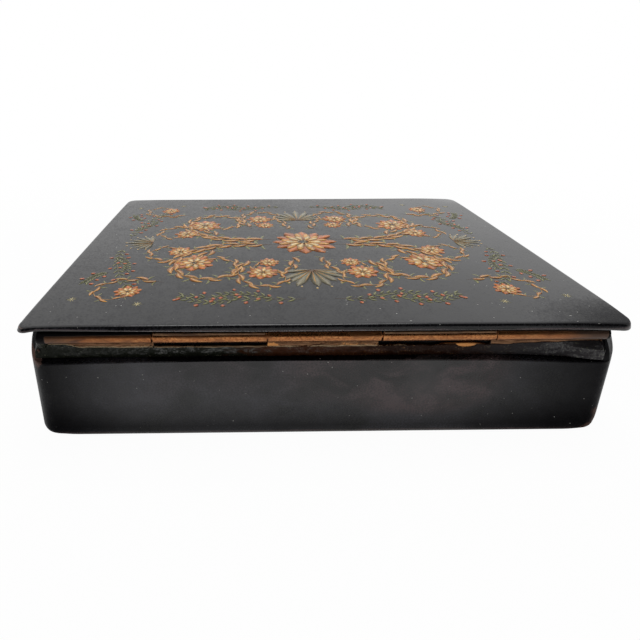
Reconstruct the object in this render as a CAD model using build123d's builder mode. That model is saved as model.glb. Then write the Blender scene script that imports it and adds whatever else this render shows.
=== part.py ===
from build123d import *
import math
import os

# Lacquered papier-mache box. A wall wound on a mandrel stands on a glued bottom plate, and a flat lid
# with a locating rim overhangs it. The lid swings on a brass hinge of rolled knuckles along the back.
# Millimetres, +Z up, hinge at the back (+Y), origin at the centre of the underside.
os.makedirs("parts", exist_ok=True)

# Lid plate and its locating rim
lid_width = 200.0
lid_depth = 156.0
lid_thickness = 2.4
lid_corner_radius = 5.0
lid_top_round = 1.2
lid_under_round = 0.5
lid_overhang = 1.0
rim_height = 5.0
rim_width = 4.0
rim_clearance = 0.5
rim_corner_radius = 2.0
rim_lead_in = 0.6

# Wound wall and bottom plate
wall_height = 41.6
wall_thickness = 6.5
mandrel_radius = 1.5
foot_round = 2.6
bottom_thickness = 4.0
bottom_seat = 2.4
glue_gap = 0.05

# Bevel of the two back corners, which leans in towards the lid so that the lid can swing past
bevel_height = 10.0
bevel_depth = 3.5
bevel_heading = 50.0

# Hinge
knuckle_count = 5
knuckle_pitch = 37.0
knuckle_gap = 0.4
hinge_offset = 0.9
barrel_radius = 2.3
sheet_thickness = 0.8
pin_clearance = 0.05
seam_gap = 0.3
swing_clearance = 0.35
base_leaf_drop = 8.8
base_leaf_shoulder = 5.0
ledge_gap = 0.4

# Brads that hold the leaves
brad_shank_radius = 0.5
brad_head_radius = 0.9
brad_head_depth = 0.4
brad_fit = 0.03
brad_drop = 6.9
base_brad_length = 3.0
lid_brad_length = 2.4

# Outline of the wall, outside and inside
wall_width = lid_width - 2 * lid_overhang
wall_depth = lid_depth - 2 * lid_overhang
wall_corner_radius = mandrel_radius + wall_thickness
inner_width = wall_width - 2 * wall_thickness
inner_depth = wall_depth - 2 * wall_thickness
inner_back = inner_depth / 2
rim_outer_width = inner_width - 2 * rim_clearance
rim_outer_depth = inner_depth - 2 * rim_clearance

# Hinge axis: the barrel is flush with the lid's back edge and touches the lid's underside
axis_y = lid_depth / 2 - barrel_radius
axis_z = wall_height - barrel_radius
bore_radius = barrel_radius - sheet_thickness
pin_radius = bore_radius - pin_clearance
cove_radius = barrel_radius + swing_clearance
hinge_length = knuckle_count * knuckle_pitch
hinge_start = hinge_offset - hinge_length / 2
hinge_bay_length = hinge_length + 2 * swing_clearance
base_knuckles = range(0, knuckle_count, 2)
lid_knuckles = range(1, knuckle_count, 2)

# The base leaf lies in a rebate of the back wall, and the lid leaf spans the top of that wall
rebate_face_y = axis_y - barrel_radius
base_leaf_bottom_z = axis_z - base_leaf_drop
ledge_z = base_leaf_bottom_z - ledge_gap
lid_leaf_under_z = wall_height - sheet_thickness
lid_leaf_inner_y = inner_back + rim_clearance / 2
lid_leaf_outer_y = axis_y - cove_radius
lid_leaf_tab_y = lid_depth / 2 - lid_under_round
lid_brad_y = (lid_leaf_inner_y + lid_leaf_outer_y) / 2
brad_z = axis_z - brad_drop


def knuckle_start(index):
    """Lower X end of a knuckle, counted from the -X end of the barrel."""
    return hinge_start + index * knuckle_pitch + knuckle_gap / 2


def bevel_plane(side):
    """Sloping plane that touches a back corner at the bevel's foot and leans in by its depth at the top."""
    heading = math.radians(bevel_heading)
    outward = Vector(side * math.sin(heading), math.cos(heading), 0)
    corner = Vector(side * (wall_width / 2 - wall_corner_radius), wall_depth / 2 - wall_corner_radius, 0)
    foot = corner + outward * wall_corner_radius + Vector(0, 0, wall_height - bevel_height)
    along = Vector(math.cos(heading), -side * math.sin(heading), 0)
    return Plane(origin=foot, x_dir=along, z_dir=outward + Vector(0, 0, bevel_depth / bevel_height))


# A brad stands in the middle of every knuckle's stretch of leaf
brad_places = [knuckle_start(index) + (knuckle_pitch - knuckle_gap) / 2 for index in range(knuckle_count)]
base_brad_spots = [Location((x, rebate_face_y + sheet_thickness, brad_z), (90, 0, 0)) for x in brad_places]
lid_brad_spots = [Location((x, lid_brad_y, lid_leaf_under_z)) for x in brad_places]
axis_line = Location((hinge_offset, axis_y, axis_z), (0, 90, 0))
from_below = (Align.CENTER, Align.CENTER, Align.MIN)


# Lid plate: rounded edges, and a shallow cove that the fixed knuckles turn clear of
with BuildPart() as lid_plate:
    with BuildSketch(Plane.XY.offset(wall_height)):
        RectangleRounded(lid_width, lid_depth, lid_corner_radius)
    extrude(amount=lid_thickness)
    fillet(lid_plate.faces().sort_by(Axis.Z)[-1].edges(), lid_top_round)
    fillet(lid_plate.faces().sort_by(Axis.Z)[0].edges(), lid_under_round)
    with Locations(axis_line):
        Cylinder(cove_radius, hinge_bay_length, mode=Mode.SUBTRACT)
    with Locations(*lid_brad_spots):
        Cylinder(brad_shank_radius + brad_fit, lid_brad_length, align=from_below, mode=Mode.SUBTRACT)
lid_plate.part.label = "lid_plate"
export_step(lid_plate.part, "parts/lid_plate.step")


# Locating rim: a frame glued under the lid that drops inside the wall
with BuildPart() as lid_rim:
    with BuildSketch(Plane.XY.offset(wall_height - rim_height)):
        RectangleRounded(rim_outer_width, rim_outer_depth, rim_corner_radius)
        Rectangle(rim_outer_width - 2 * rim_width, rim_outer_depth - 2 * rim_width, mode=Mode.SUBTRACT)
    extrude(amount=rim_height)
    chamfer(lid_rim.faces().sort_by(Axis.Z)[0].outer_wire().edges(), rim_lead_in)
lid_rim.part.label = "lid_rim"
export_step(lid_rim.part, "parts/lid_rim.step")


# Wall: one wound ring, rounded at the foot, bevelled at its back corners, seated for the bottom plate
# and rebated between the back corners, down to a ledge, for the hinge
with BuildPart() as base_walls:
    with BuildSketch():
        RectangleRounded(wall_width, wall_depth, wall_corner_radius)
    extrude(amount=wall_height)
    fillet(base_walls.faces().sort_by(Axis.Z)[0].edges(), foot_round)
    with Locations(bevel_plane(1), bevel_plane(-1)):
        Box(
            4 * wall_corner_radius, 4 * bevel_height, 4 * bevel_depth, align=from_below, mode=Mode.SUBTRACT
        )
    with BuildSketch():
        RectangleRounded(inner_width, inner_depth, mandrel_radius)
    extrude(amount=wall_height, mode=Mode.SUBTRACT)
    with BuildSketch():
        RectangleRounded(
            inner_width + 2 * bottom_seat, inner_depth + 2 * bottom_seat, mandrel_radius + bottom_seat
        )
    extrude(amount=bottom_thickness, mode=Mode.SUBTRACT)
    with BuildSketch(Plane.XY.offset(ledge_z)):
        with Locations((hinge_offset, rebate_face_y)):
            Rectangle(hinge_bay_length, wall_thickness, align=(Align.CENTER, Align.MIN))
    extrude(amount=wall_height - ledge_z, mode=Mode.SUBTRACT)
    with BuildSketch(Plane.XY.offset(wall_height)):
        with Locations((hinge_offset, inner_back)):
            Rectangle(hinge_bay_length, 2 * wall_thickness)
    extrude(amount=-sheet_thickness - swing_clearance, mode=Mode.SUBTRACT)
    with Locations(axis_line):
        Cylinder(cove_radius, hinge_bay_length, mode=Mode.SUBTRACT)
    with Locations(*base_brad_spots):
        Cylinder(brad_shank_radius + brad_fit, base_brad_length, align=from_below, mode=Mode.SUBTRACT)
base_walls.part.label = "base_walls"
export_step(base_walls.part, "parts/base_walls.step")


# Bottom plate: glued up into the seat inside the foot of the wall
with BuildPart() as bottom_plate:
    with BuildSketch():
        RectangleRounded(
            inner_width + 2 * bottom_seat - 2 * glue_gap,
            inner_depth + 2 * bottom_seat - 2 * glue_gap,
            mandrel_radius + bottom_seat - glue_gap,
        )
    extrude(amount=bottom_thickness)
bottom_plate.part.label = "bottom_plate"
export_step(bottom_plate.part, "parts/bottom_plate.step")


# Base leaf: a strip in the rebate, whose tabs rise, roll over the top and end short of the leaf again
with BuildPart() as base_leaf:
    with BuildSketch(Plane.YZ.offset(hinge_start)):
        with Locations((rebate_face_y, base_leaf_bottom_z)):
            Rectangle(sheet_thickness, base_leaf_drop - base_leaf_shoulder, align=(Align.MIN, Align.MIN))
    extrude(amount=hinge_length)
    for index in base_knuckles:
        with BuildSketch(Plane.YZ.offset(knuckle_start(index))):
            with Locations((axis_y, axis_z)):
                Circle(barrel_radius)
                Circle(bore_radius, mode=Mode.SUBTRACT)
            with Locations((rebate_face_y + sheet_thickness, axis_z)):
                Rectangle(seam_gap, barrel_radius, align=(Align.MIN, Align.MAX), mode=Mode.SUBTRACT)
            with Locations((rebate_face_y, axis_z)):
                Rectangle(sheet_thickness, base_leaf_drop, align=(Align.MIN, Align.MAX))
        extrude(amount=knuckle_pitch - knuckle_gap)
    with Locations(*base_brad_spots):
        Cylinder(brad_shank_radius + brad_fit, base_brad_length, align=from_below, mode=Mode.SUBTRACT)
        Cone(
            brad_head_radius + brad_fit,
            brad_shank_radius + brad_fit,
            brad_head_depth,
            align=from_below,
            mode=Mode.SUBTRACT,
        )
base_leaf.part.label = "base_leaf"
export_step(base_leaf.part, "parts/base_leaf.step")


# Lid leaf: a strip under the lid, whose tabs run out to the lid's edge and carry rolled tubes below
with BuildPart() as lid_leaf:
    with BuildSketch(Plane.YZ.offset(hinge_start)):
        with Locations((lid_leaf_inner_y, lid_leaf_under_z)):
            Rectangle(lid_leaf_outer_y - lid_leaf_inner_y, sheet_thickness, align=(Align.MIN, Align.MIN))
    extrude(amount=hinge_length)
    for index in lid_knuckles:
        with BuildSketch(Plane.YZ.offset(knuckle_start(index))):
            with Locations((axis_y, axis_z)):
                Circle(barrel_radius)
                Circle(bore_radius, mode=Mode.SUBTRACT)
            with Locations((axis_y, lid_leaf_under_z)):
                Rectangle(barrel_radius, seam_gap, align=(Align.MAX, Align.MAX), mode=Mode.SUBTRACT)
            with Locations((lid_leaf_inner_y, lid_leaf_under_z)):
                Rectangle(lid_leaf_tab_y - lid_leaf_inner_y, sheet_thickness, align=(Align.MIN, Align.MIN))
        extrude(amount=knuckle_pitch - knuckle_gap)
    with Locations(*lid_brad_spots):
        Cylinder(brad_shank_radius + brad_fit, lid_brad_length, align=from_below, mode=Mode.SUBTRACT)
        Cone(
            brad_head_radius + brad_fit,
            brad_shank_radius + brad_fit,
            brad_head_depth,
            align=from_below,
            mode=Mode.SUBTRACT,
        )
lid_leaf.part.label = "lid_leaf"
export_step(lid_leaf.part, "parts/lid_leaf.step")


# Hinge pin: one wire through all the knuckles
with BuildPart() as hinge_pin:
    with Locations(axis_line):
        Cylinder(pin_radius, hinge_length)
hinge_pin.part.label = "hinge_pin"
export_step(hinge_pin.part, "parts/hinge_pin.step")


# Brads: countersunk heads flush with the leaf, shanks driven into the papier-mache
with BuildPart() as base_leaf_brads:
    with Locations(*base_brad_spots):
        Cylinder(brad_shank_radius, base_brad_length, align=from_below)
        Cone(brad_head_radius, brad_shank_radius, brad_head_depth, align=from_below)
base_leaf_brads.part.label = "base_leaf_brads"
export_step(base_leaf_brads.part, "parts/base_leaf_brads.step")

with BuildPart() as lid_leaf_brads:
    with Locations(*lid_brad_spots):
        Cylinder(brad_shank_radius, lid_brad_length, align=from_below)
        Cone(brad_head_radius, brad_shank_radius, brad_head_depth, align=from_below)
lid_leaf_brads.part.label = "lid_leaf_brads"
export_step(lid_leaf_brads.part, "parts/lid_leaf_brads.step")
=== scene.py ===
"""A lacquered papier-mache box: black outside, red inside, flowers on the lid and a worn brass hinge.

Lengths are in millimetres, and turn into metres where a mesh, a shader or the camera takes them.
"""
from __future__ import annotations

import logging
import math
from dataclasses import dataclass, field, replace
from enum import Enum
from functools import reduce
from typing import Mapping, Sequence, Union

import bpy
import numpy as np
from mathutils import Matrix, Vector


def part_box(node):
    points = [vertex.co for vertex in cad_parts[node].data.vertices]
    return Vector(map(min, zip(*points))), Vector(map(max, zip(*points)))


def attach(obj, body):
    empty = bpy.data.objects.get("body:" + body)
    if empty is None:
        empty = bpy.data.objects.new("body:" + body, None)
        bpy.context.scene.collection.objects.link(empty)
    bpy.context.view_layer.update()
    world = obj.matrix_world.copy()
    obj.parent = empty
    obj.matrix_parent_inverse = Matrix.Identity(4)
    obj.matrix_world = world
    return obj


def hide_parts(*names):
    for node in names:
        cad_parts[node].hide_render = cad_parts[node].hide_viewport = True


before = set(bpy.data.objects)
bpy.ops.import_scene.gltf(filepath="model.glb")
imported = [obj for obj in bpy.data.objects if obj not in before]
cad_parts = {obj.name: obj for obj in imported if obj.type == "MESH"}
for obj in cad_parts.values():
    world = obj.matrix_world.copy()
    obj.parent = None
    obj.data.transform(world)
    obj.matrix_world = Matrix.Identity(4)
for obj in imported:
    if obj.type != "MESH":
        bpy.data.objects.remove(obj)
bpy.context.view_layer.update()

LOG = logging.getLogger("lacquer_box")
MM = 0.001
WHITE = (1.0, 1.0, 1.0, 1.0)
Array = np.ndarray
Number = Union[Array, float]
Span = tuple[float, float]
Triple = tuple[float, float, float]
Colour = Triple
Key = Union[int, str]
Term = Union["Shade", float]
Material = bpy.types.Material


def box_of(node: str) -> tuple[Array, Array]:
    """Lowest and highest corner of a frame node."""
    low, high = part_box(node)
    return np.array(low, float) / MM, np.array(high, float) / MM


def corner_field(node: str, end: int) -> Array:
    """A dataclass field that holds the lowest (0) or the highest (1) corner of a frame node."""
    return field(default_factory=lambda: box_of(node)[end])


def soft_step(value: Number, low: Number, high: Number) -> Array:
    """The cubic 3 s^2 - 2 s^3 that climbs from 0 at low to 1 at high."""
    share = np.clip((value - low) / (high - low), 0.0, 1.0)
    return share * share * (3 - 2 * share)


def fade(value: Array, near: float, far: float) -> Array:
    """The same cubic falling, from 1 at near to 0 at far."""
    return soft_step(-value, -far, -near)


def between(value: Array, start: float, end: float, soft: float) -> Array:
    """1 from start to end and 0 elsewhere, with a soft step at both."""
    return soft_step(value, start - soft, start + soft) - soft_step(value, end - soft, end + soft)


def bell(value: Number, middle: Number, reach: float) -> Array:
    """The bell curve exp(-((v - middle) / reach)^2)."""
    return np.exp(-(((value - middle) / reach) ** 2))


def climb(value: Array, strength: float, low: float, high: float) -> Array:
    """A strength that is reached by a soft step from low to high."""
    return strength * soft_step(value, low, high)


def patch(distance: Array, strength: float, near: float, far: float) -> Array:
    """A strength that holds up to a near distance and fades to 0 at a far one."""
    return strength * fade(distance, near, far)


def spot(value: Array, strength: float, middle: float, reach: float) -> Array:
    """A strength that falls off on both sides of a middle as a bell curve."""
    return strength * bell(value, middle, reach)


def above(least: float, share: Array) -> Array:
    """A share from 0 to 1, drawn up so that it runs from a least value to 1."""
    return least + (1 - least) * share


def soft_excess(value: Number, width: float) -> Array:
    """The part of a value above zero, (v + sqrt(v^2 + w^2)) / 2, so that the bend at zero is w wide."""
    return (value + np.sqrt(value**2 + width**2)) / 2


def quarter_turn(steps: int) -> Array:
    """Angles from 0 to a right angle, both ends included."""
    return np.linspace(0.0, math.pi / 2, steps)


def unit(angle: Array) -> Array:
    """The direction (cos a, sin a) of each angle."""
    return np.stack([np.cos(angle), np.sin(angle)], axis=-1)


def ripple(x: Array, y: Number, wavelength: float, seed: int) -> Array:
    """Smooth unevenness near -1 to 1: the mean of six sine waves that run in seeded directions.

    Args:
        x: first coordinate of each point.
        y: second coordinate of each point.
        wavelength: middle length of the waves.
        seed: choice of directions and phases.

    Returns:
        A value for each point.
    """
    rng = np.random.default_rng(seed)
    angle, phase = rng.uniform(0.0, 2 * math.pi, (2, 6))
    pace = 2 * math.pi / (wavelength * rng.uniform(0.6, 1.6, 6))
    along = np.multiply.outer(x, np.cos(angle)) + np.multiply.outer(y, np.sin(angle))
    return np.sin(along * pace + phase).mean(axis=-1) * 1.8


def rounded_outline(half_x: float, half_y: float, radius: float) -> Array:
    """Points round a rectangle with quarter-circle corners, counter-clockwise seen from above.

    Each corner is centre + radius * (cos a, sin a) over a quarter turn, and each side is a straight run of
    even steps between two corners, so outlines of any size match point by point.

    Args:
        half_x: half of the width.
        half_y: half of the depth.
        radius: corner radius.

    Returns:
        An array of (x, y) rows.
    """
    side_steps, corner_steps = (64, 88), 36
    centres = np.array([(1, -1), (1, 1), (-1, 1), (-1, -1)]) * (half_x - radius, half_y - radius)
    angles = np.arange(-1, 3)[:, None] * math.pi / 2 + quarter_turn(corner_steps)
    corners = centres[:, None] + radius * unit(angles)
    runs = []
    for turn, corner in enumerate(corners):
        share = np.linspace(0.0, 1.0, side_steps[turn % 2] + 1)[1:-1, None]
        runs += [corner, corner[-1] * (1 - share) + corners[(turn + 1) % 4][0] * share]
    return np.concatenate(runs)


@dataclass
class Ring:
    """One ring of a lacquered surface, with how rubbed it is and whether it is red."""

    outline: Array
    height: Number
    edge: float = 0.0
    inside: float = 0.0

    def points(self) -> Array:
        """The ring as (x, y, z) rows."""
        return np.column_stack([self.outline, np.broadcast_to(self.height, len(self.outline))])


@dataclass
class Surface:
    """The points and faces of one mesh, with numbers, colours or a map kept at its points."""

    points: Array
    quads: Array
    triangles: Array = field(default_factory=lambda: np.zeros((0, 3), int))
    values: dict[str, Array] = field(default_factory=dict)

    @classmethod
    def from_rings(cls, rings: Array, closed: bool) -> "Surface":
        """A grid of closed rings; an open stack gets a pole at the middle of its first and last ring.

        Args:
            rings: array of ring, point, coordinate.
            closed: whether the last ring meets the first.

        Returns:
            The surface, turned so that its signed volume is positive.
        """
        count, around = rings.shape[:2]
        here = np.arange(around)
        after = (here + 1) % around
        low = np.arange(count if closed else count - 1)[:, None] * around
        high = (low + around) % (count * around)
        quads = np.stack([low + here, low + after, high + after, high + here], axis=-1).reshape(-1, 4)
        points, triangles = rings.reshape(-1, 3), np.zeros((0, 3), int)
        if not closed:
            pole, end = np.full(around, len(points)), (count - 1) * around
            caps = ([after, here, pole], [here + end, after + end, pole + 1])
            triangles = np.concatenate([np.column_stack(cap) for cap in caps])
            points = np.concatenate([points, rings[[0, -1]].mean(axis=1)])
        made = cls(points, quads, triangles)
        if made.volume() < 0:
            made = cls(points, quads[:, ::-1], triangles[:, ::-1])
        return made

    @classmethod
    def lacquered(cls, rows: Sequence[Ring], rings: Array, closed: bool) -> "Surface":
        """A grid of rings, as points in their final shape, that keeps how rubbed and how red each row is."""
        edge, inside = np.repeat([(row.edge, row.inside) for row in rows], rings.shape[1], axis=0).T
        return cls.from_rings(rings, closed).keep(edge=edge, inside=inside)

    def keep(self, **values: Number) -> "Surface":
        """Keep named values at the points.

        Args:
            values: one number, or one for each point; poles take the first and the last number.

        Returns:
            The surface itself.
        """
        for name, value in values.items():
            flat = np.ravel(value)
            if flat.size == 1:
                flat = np.full(len(self.points), flat[0])
            elif flat.size < len(self.points):
                flat = np.append(flat, flat[[0, -1]])
            self.values[name] = flat
        return self

    def volume(self) -> float:
        """Signed volume: a sixth of the sum of p0 . (p1 x p2) over all triangles."""
        faces = np.concatenate([self.quads[:, [0, 1, 2]], self.quads[:, [0, 2, 3]], self.triangles])
        return float(np.linalg.det(self.points[faces]).sum() / 6)

    def joined(self, other: "Surface") -> "Surface":
        """This surface and another one as a single mesh.

        Args:
            other: a surface with the same named values.

        Returns:
            The joined surface.
        """
        shift = len(self.points)
        return Surface(
            np.concatenate([self.points, other.points]),
            np.concatenate([self.quads, other.quads + shift]),
            np.concatenate([self.triangles, other.triangles + shift]),
            {name: np.concatenate([value, other.values[name]]) for name, value in self.values.items()},
        )

    def piece(self, name: str, material: Material, body: str, slot: str, *nodes: str) -> None:
        """Put the surface into the scene as a piece that rides on a body.

        Args:
            name: name of the piece.
            material: its finish.
            body: the body that it moves with.
            slot: not used.
            nodes: the frame nodes that it stands for.
        """
        mesh = bpy.data.meshes.new(name)
        mesh.from_pydata((self.points * MM).tolist(), [], self.quads.tolist() + self.triangles.tolist())
        mesh.polygons.foreach_set("use_smooth", np.ones(len(mesh.polygons), bool))
        for label, value in self.values.items():
            if value.ndim == 1:
                kept = mesh.attributes.new(label, "FLOAT", "POINT")
                kept.data.foreach_set("value", value.astype(np.float32))
            elif value.shape[1] == 3:
                kept = mesh.attributes.new(label, "FLOAT_COLOR", "POINT")
                rgba = np.column_stack([value, np.ones(len(value))])
                kept.data.foreach_set("color", rgba.astype(np.float32).ravel())
            else:
                corner = np.empty(len(mesh.loops), np.int32)
                mesh.loops.foreach_get("vertex_index", corner)
                kept = mesh.uv_layers.new(name=label)
                kept.data.foreach_set("uv", value[corner].astype(np.float32).ravel())
        mesh.materials.append(material)
        mesh.update()
        thing = in_scene(name, mesh)
        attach(thing, body)
        if nodes:
            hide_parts(*nodes)
        LOG.info("%s: %d faces on %s", name, len(mesh.polygons), body)


def in_scene(name: str, data: bpy.types.ID) -> bpy.types.Object:
    """Put a mesh, a lamp or a camera into the scene.

    Args:
        name: name of the object.
        data: what it shows.

    Returns:
        The new object.
    """
    thing = bpy.data.objects.new(name, data)
    bpy.context.scene.collection.objects.link(thing)
    return thing


def dress(node: str, material: Material) -> None:
    """Give a frame node a finish in all its material slots.

    Args:
        node: name of the node.
        material: the finish.
    """
    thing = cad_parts[node]
    if not thing.material_slots:
        thing.data.materials.append(material)
    for slot in thing.material_slots:
        slot.material = material
    LOG.info("%s: dressed in %s", node, material.name)


class Shade:
    """A node socket that takes part in Python expressions."""

    def __init__(self, graph: "Graph", socket: bpy.types.NodeSocket) -> None:
        """Keep the graph and the socket."""
        self.graph, self.socket = graph, socket

    def _math(self, operation: str, first: Term, second: Term) -> "Shade":
        """One Math node on two terms."""
        return self.graph.add("Math", {0: first, 1: second}, operation=operation)

    def __add__(self, other: Term) -> "Shade":
        """Sum."""
        return self._math("ADD", self, other)

    def __sub__(self, other: Term) -> "Shade":
        """Difference."""
        return self._math("SUBTRACT", self, other)

    def __rsub__(self, other: Term) -> "Shade":
        """Difference from a number."""
        return self._math("SUBTRACT", other, self)

    def __mul__(self, other: Term) -> "Shade":
        """Product."""
        return self._math("MULTIPLY", self, other)

    def most(self, other: Term) -> "Shade":
        """The larger of two terms."""
        return self._math("MAXIMUM", self, other)

    def step(self, low: float, high: float) -> "Shade":
        """A smooth climb from 0 at low to 1 at high."""
        inputs = {"Value": self, "From Min": low, "From Max": high}
        return self.graph.add("MapRange", inputs, interpolation_type="SMOOTHSTEP")


class Graph:
    """The node tree of one finish."""

    def __init__(self, tree: bpy.types.NodeTree) -> None:
        """Empty the tree and keep it."""
        self.tree = tree
        tree.nodes.clear()

    def add(
        self, kind: str, inputs: Mapping[Key, object] | None = None, output: Key = 0, **settings: object
    ) -> Shade:
        """Add one node.

        Args:
            kind: node type, without the prefix that all have.
            inputs: values or links of its sockets.
            output: the socket that is handed back.
            settings: properties that are set first.

        Returns:
            The chosen output.
        """
        node = self.tree.nodes.new("ShaderNode" + kind)
        for name, value in settings.items():
            setattr(node, name, value)
        for key, value in (inputs or {}).items():
            if isinstance(value, Shade):
                self.tree.links.new(value.socket, node.inputs[key])
            else:
                node.inputs[key].default_value = value
        return Shade(self, node.outputs[output] if len(node.outputs) else None)

    def place(self) -> Shade:
        """Object coordinates."""
        return self.add("TexCoord", output="Object")

    def axis(self, vector: Shade, name: str) -> Shade:
        """One coordinate of a vector."""
        return self.add("SeparateXYZ", {0: vector}, name)

    def stretched(self, vector: Shade, x: float, y: float = 1.0, z: float = 1.0) -> Shade:
        """A vector whose coordinates are scaled one by one."""
        return self.add("Mapping", {"Vector": vector, "Scale": (x, y, z)})

    def noise(self, vector: Shade, size: float, detail: float = 2.0, warp: float = 0.0) -> Shade:
        """Noise whose patches are about as large as size."""
        inputs = {"Vector": vector, "Scale": 1 / (size * MM), "Detail": detail, "Distortion": warp}
        return self.add("TexNoise", inputs)

    def specks(self, vector: Shade, cell: float, radius: float, share: float) -> Shade:
        """Round specks in a share of the cells of a Voronoi pattern.

        Args:
            vector: coordinates.
            cell: size of a cell.
            radius: radius of a speck in cells.
            share: share of the cells that hold one.

        Returns:
            A mask that is 1 inside the specks.
        """
        inputs = {"Vector": vector, "Scale": 1 / (cell * MM)}
        distance, chance = (self.add("TexVoronoi", inputs, output) for output in ("Distance", "Color"))
        lot = self.add("SeparateColor", {0: chance})
        return (1 - distance.step(radius * 0.6, radius)) * lot.step(1 - share, 1 - share + 0.01)

    def value_of(self, name: str) -> Shade:
        """A number kept at the mesh's points."""
        return self.add("Attribute", output="Fac", attribute_name=name)

    def mixed(self, share: Shade, first: Shade | Colour, second: Shade | Colour) -> Shade:
        """A colour between two others: share 0 gives the first and 1 the second."""
        both = [item if isinstance(item, Shade) else (*item, 1.0) for item in (first, second)]
        return self.add("Mix", {0: share, 6: both[0], 7: both[1]}, 2, data_type="RGBA")

    def ramp(self, share: Shade, stops: Sequence[tuple[float, Colour]]) -> Shade:
        """A colour that runs through stops.

        Args:
            share: where to read the ramp.
            stops: positions and colours.

        Returns:
            The colour.
        """
        tint = self.add("ValToRGB", {0: share})
        elements = tint.socket.node.color_ramp.elements
        while len(elements) < len(stops):
            elements.new(0.5)
        for element, (position, colour) in zip(elements, stops):
            element.position, element.color = position, (*colour, 1.0)
        return tint

    def raised(self, height: Shade, distance: float) -> Shade:
        """A normal bumped by a height between 0 and 1 that stands for a distance."""
        return self.add("Bump", {"Height": height, "Strength": 1.0, "Distance": distance * MM})

    def rays(self) -> tuple[Shade, Shade]:
        """Tell what the camera sees from what is mirrored or let through.

        Returns:
            Whether a ray comes from the camera, and whether it comes from a mirroring or clear surface.
        """
        kinds = ("Camera", "Glossy", "Transmission")
        seen, glossy, through = (self.add("LightPath", output=f"Is {kind} Ray") for kind in kinds)
        return seen, glossy.most(through)

    def shader(self, **sockets: object) -> Shade:
        """A Principled shader whose sockets are named with underscores."""
        return self.add("BsdfPrincipled", {name.replace("_", " "): value for name, value in sockets.items()})

    def blend(self, share: Shade, first: Shade, second: Shade) -> Shade:
        """A shader between two others."""
        return self.add("MixShader", {0: share, 1: first, 2: second})

    def close(self, shader: Shade, kind: str = "Material") -> None:
        """Lead a shader to the output of a material or of the world."""
        self.add("Output" + kind, {"Surface": shader})


def blank_material(name: str) -> tuple[Material, Graph]:
    """A new material and its empty graph.

    Args:
        name: name of the material.

    Returns:
        Both of them.
    """
    material = bpy.data.materials.new(name)
    material.use_nodes = True
    return material, Graph(material.node_tree)


@dataclass(frozen=True)
class Lacquer:
    """Black lacquer outside and red lacquer inside, hazed, dusty and rubbed red-brown along the edges; its
    haze value also carries painted highlights and painted shade.
    """

    name: str = "black_and_red_lacquer"
    black: Colour = (0.0036, 0.0034, 0.0040)
    haze: Colour = (0.050, 0.049, 0.058)
    smudge: Colour = (0.088, 0.062, 0.064)
    highlight_grey: Colour = (0.105, 0.100, 0.100)
    red: Colour = (0.36, 0.020, 0.012)
    deep_red: Colour = (0.20, 0.010, 0.007)
    rubbed: Colour = (0.105, 0.060, 0.048)
    dust: Colour = (0.52, 0.51, 0.48)
    gloss: float = 0.055
    relief: float = 0.055
    clear_ior: float = 1.48
    dead_ior: float = 1.04

    def material(self, split_height: float | None = None) -> Material:
        """Build the finish.

        Args:
            split_height: height above which a plain node is red; pieces with kept values leave it out.

        Returns:
            The material.
        """
        material, g = blank_material(self.name if split_height is None else self.name + "_plate")
        place = g.place()
        cloud = g.noise(place, 24, 3.0, 0.5)
        tint = g.noise(place, 46, 1.0)
        grain = g.noise(place, 0.7)
        peel = g.noise(place, 3.5)
        swell = g.noise(place, 26, 1.0)
        smear = g.noise(g.stretched(place, 0.6), 9, 4.0, 1.0)
        marks = g.specks(g.stretched(place, 0.3), 2.0, 0.09, 0.08)
        dust = g.specks(place, 2.1, 0.105, 0.34).most(marks) * g.noise(place, 20).step(0.44, 0.60)
        if split_height is None:
            inside, edge, haze, dull = (g.value_of(name) for name in ("inside", "edge", "haze", "dull"))
        else:
            inside = g.axis(place, "Z").step(split_height * MM, (split_height + 0.1) * MM)
            edge = haze = dull = inside * 0.0
        wear = (edge + (g.noise(place, 4, 4.0) - 0.5) * 0.9).step(0.70, 1.0)
        patches = cloud.step(0.35, 0.70) * 0.6 + smear.step(0.40, 0.75) * 0.5
        veil = haze * patches * (grain.step(0.36, 0.64) * 0.9 + 0.55) + grain.step(0.45, 0.70) * 0.16
        warm = (tint + haze * 0.35 - g.axis(place, "X") * 1.6).step(0.78, 1.02)
        black = g.mixed(veil, self.black, g.mixed(warm, self.haze, self.smudge))
        # Haze above 2 is a painted highlight line, on the lid's lower lip and along the wall's foot, that
        # turns pale grey.
        black = g.mixed((haze - 2.0).most(0.0), black, self.highlight_grey)
        red = g.mixed(cloud.step(0.35, 0.75), self.deep_red, self.red)
        colour = g.mixed(wear * (1 - inside), g.mixed(inside, black, red), self.rubbed)
        colour = g.mixed(dust * 0.85, colour, self.dust)
        gloss = cloud * 0.04 + grain * 0.03 + wear * 0.16 + dust * 0.3 + haze * 0.05 + self.gloss
        normal = g.raised(grain * 0.36 + peel * 0.28 + swell * 0.46, self.relief)
        glossy = g.shader(Base_Color=colour, Roughness=gloss, IOR=self.clear_ior, Normal=normal)
        flat = g.shader(Base_Color=colour, Roughness=gloss + 0.2, IOR=self.dead_ior, Normal=normal)
        shimmer = (smear - 0.5) * 0.25 + (grain - 0.5) * 1.2 + (peel - 0.5) * 0.3
        lost = (dull + shimmer * (1.15 - dull).most(0.0)) * (1 - inside)
        g.close(g.blend(lost, glossy, flat))
        return material


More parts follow.
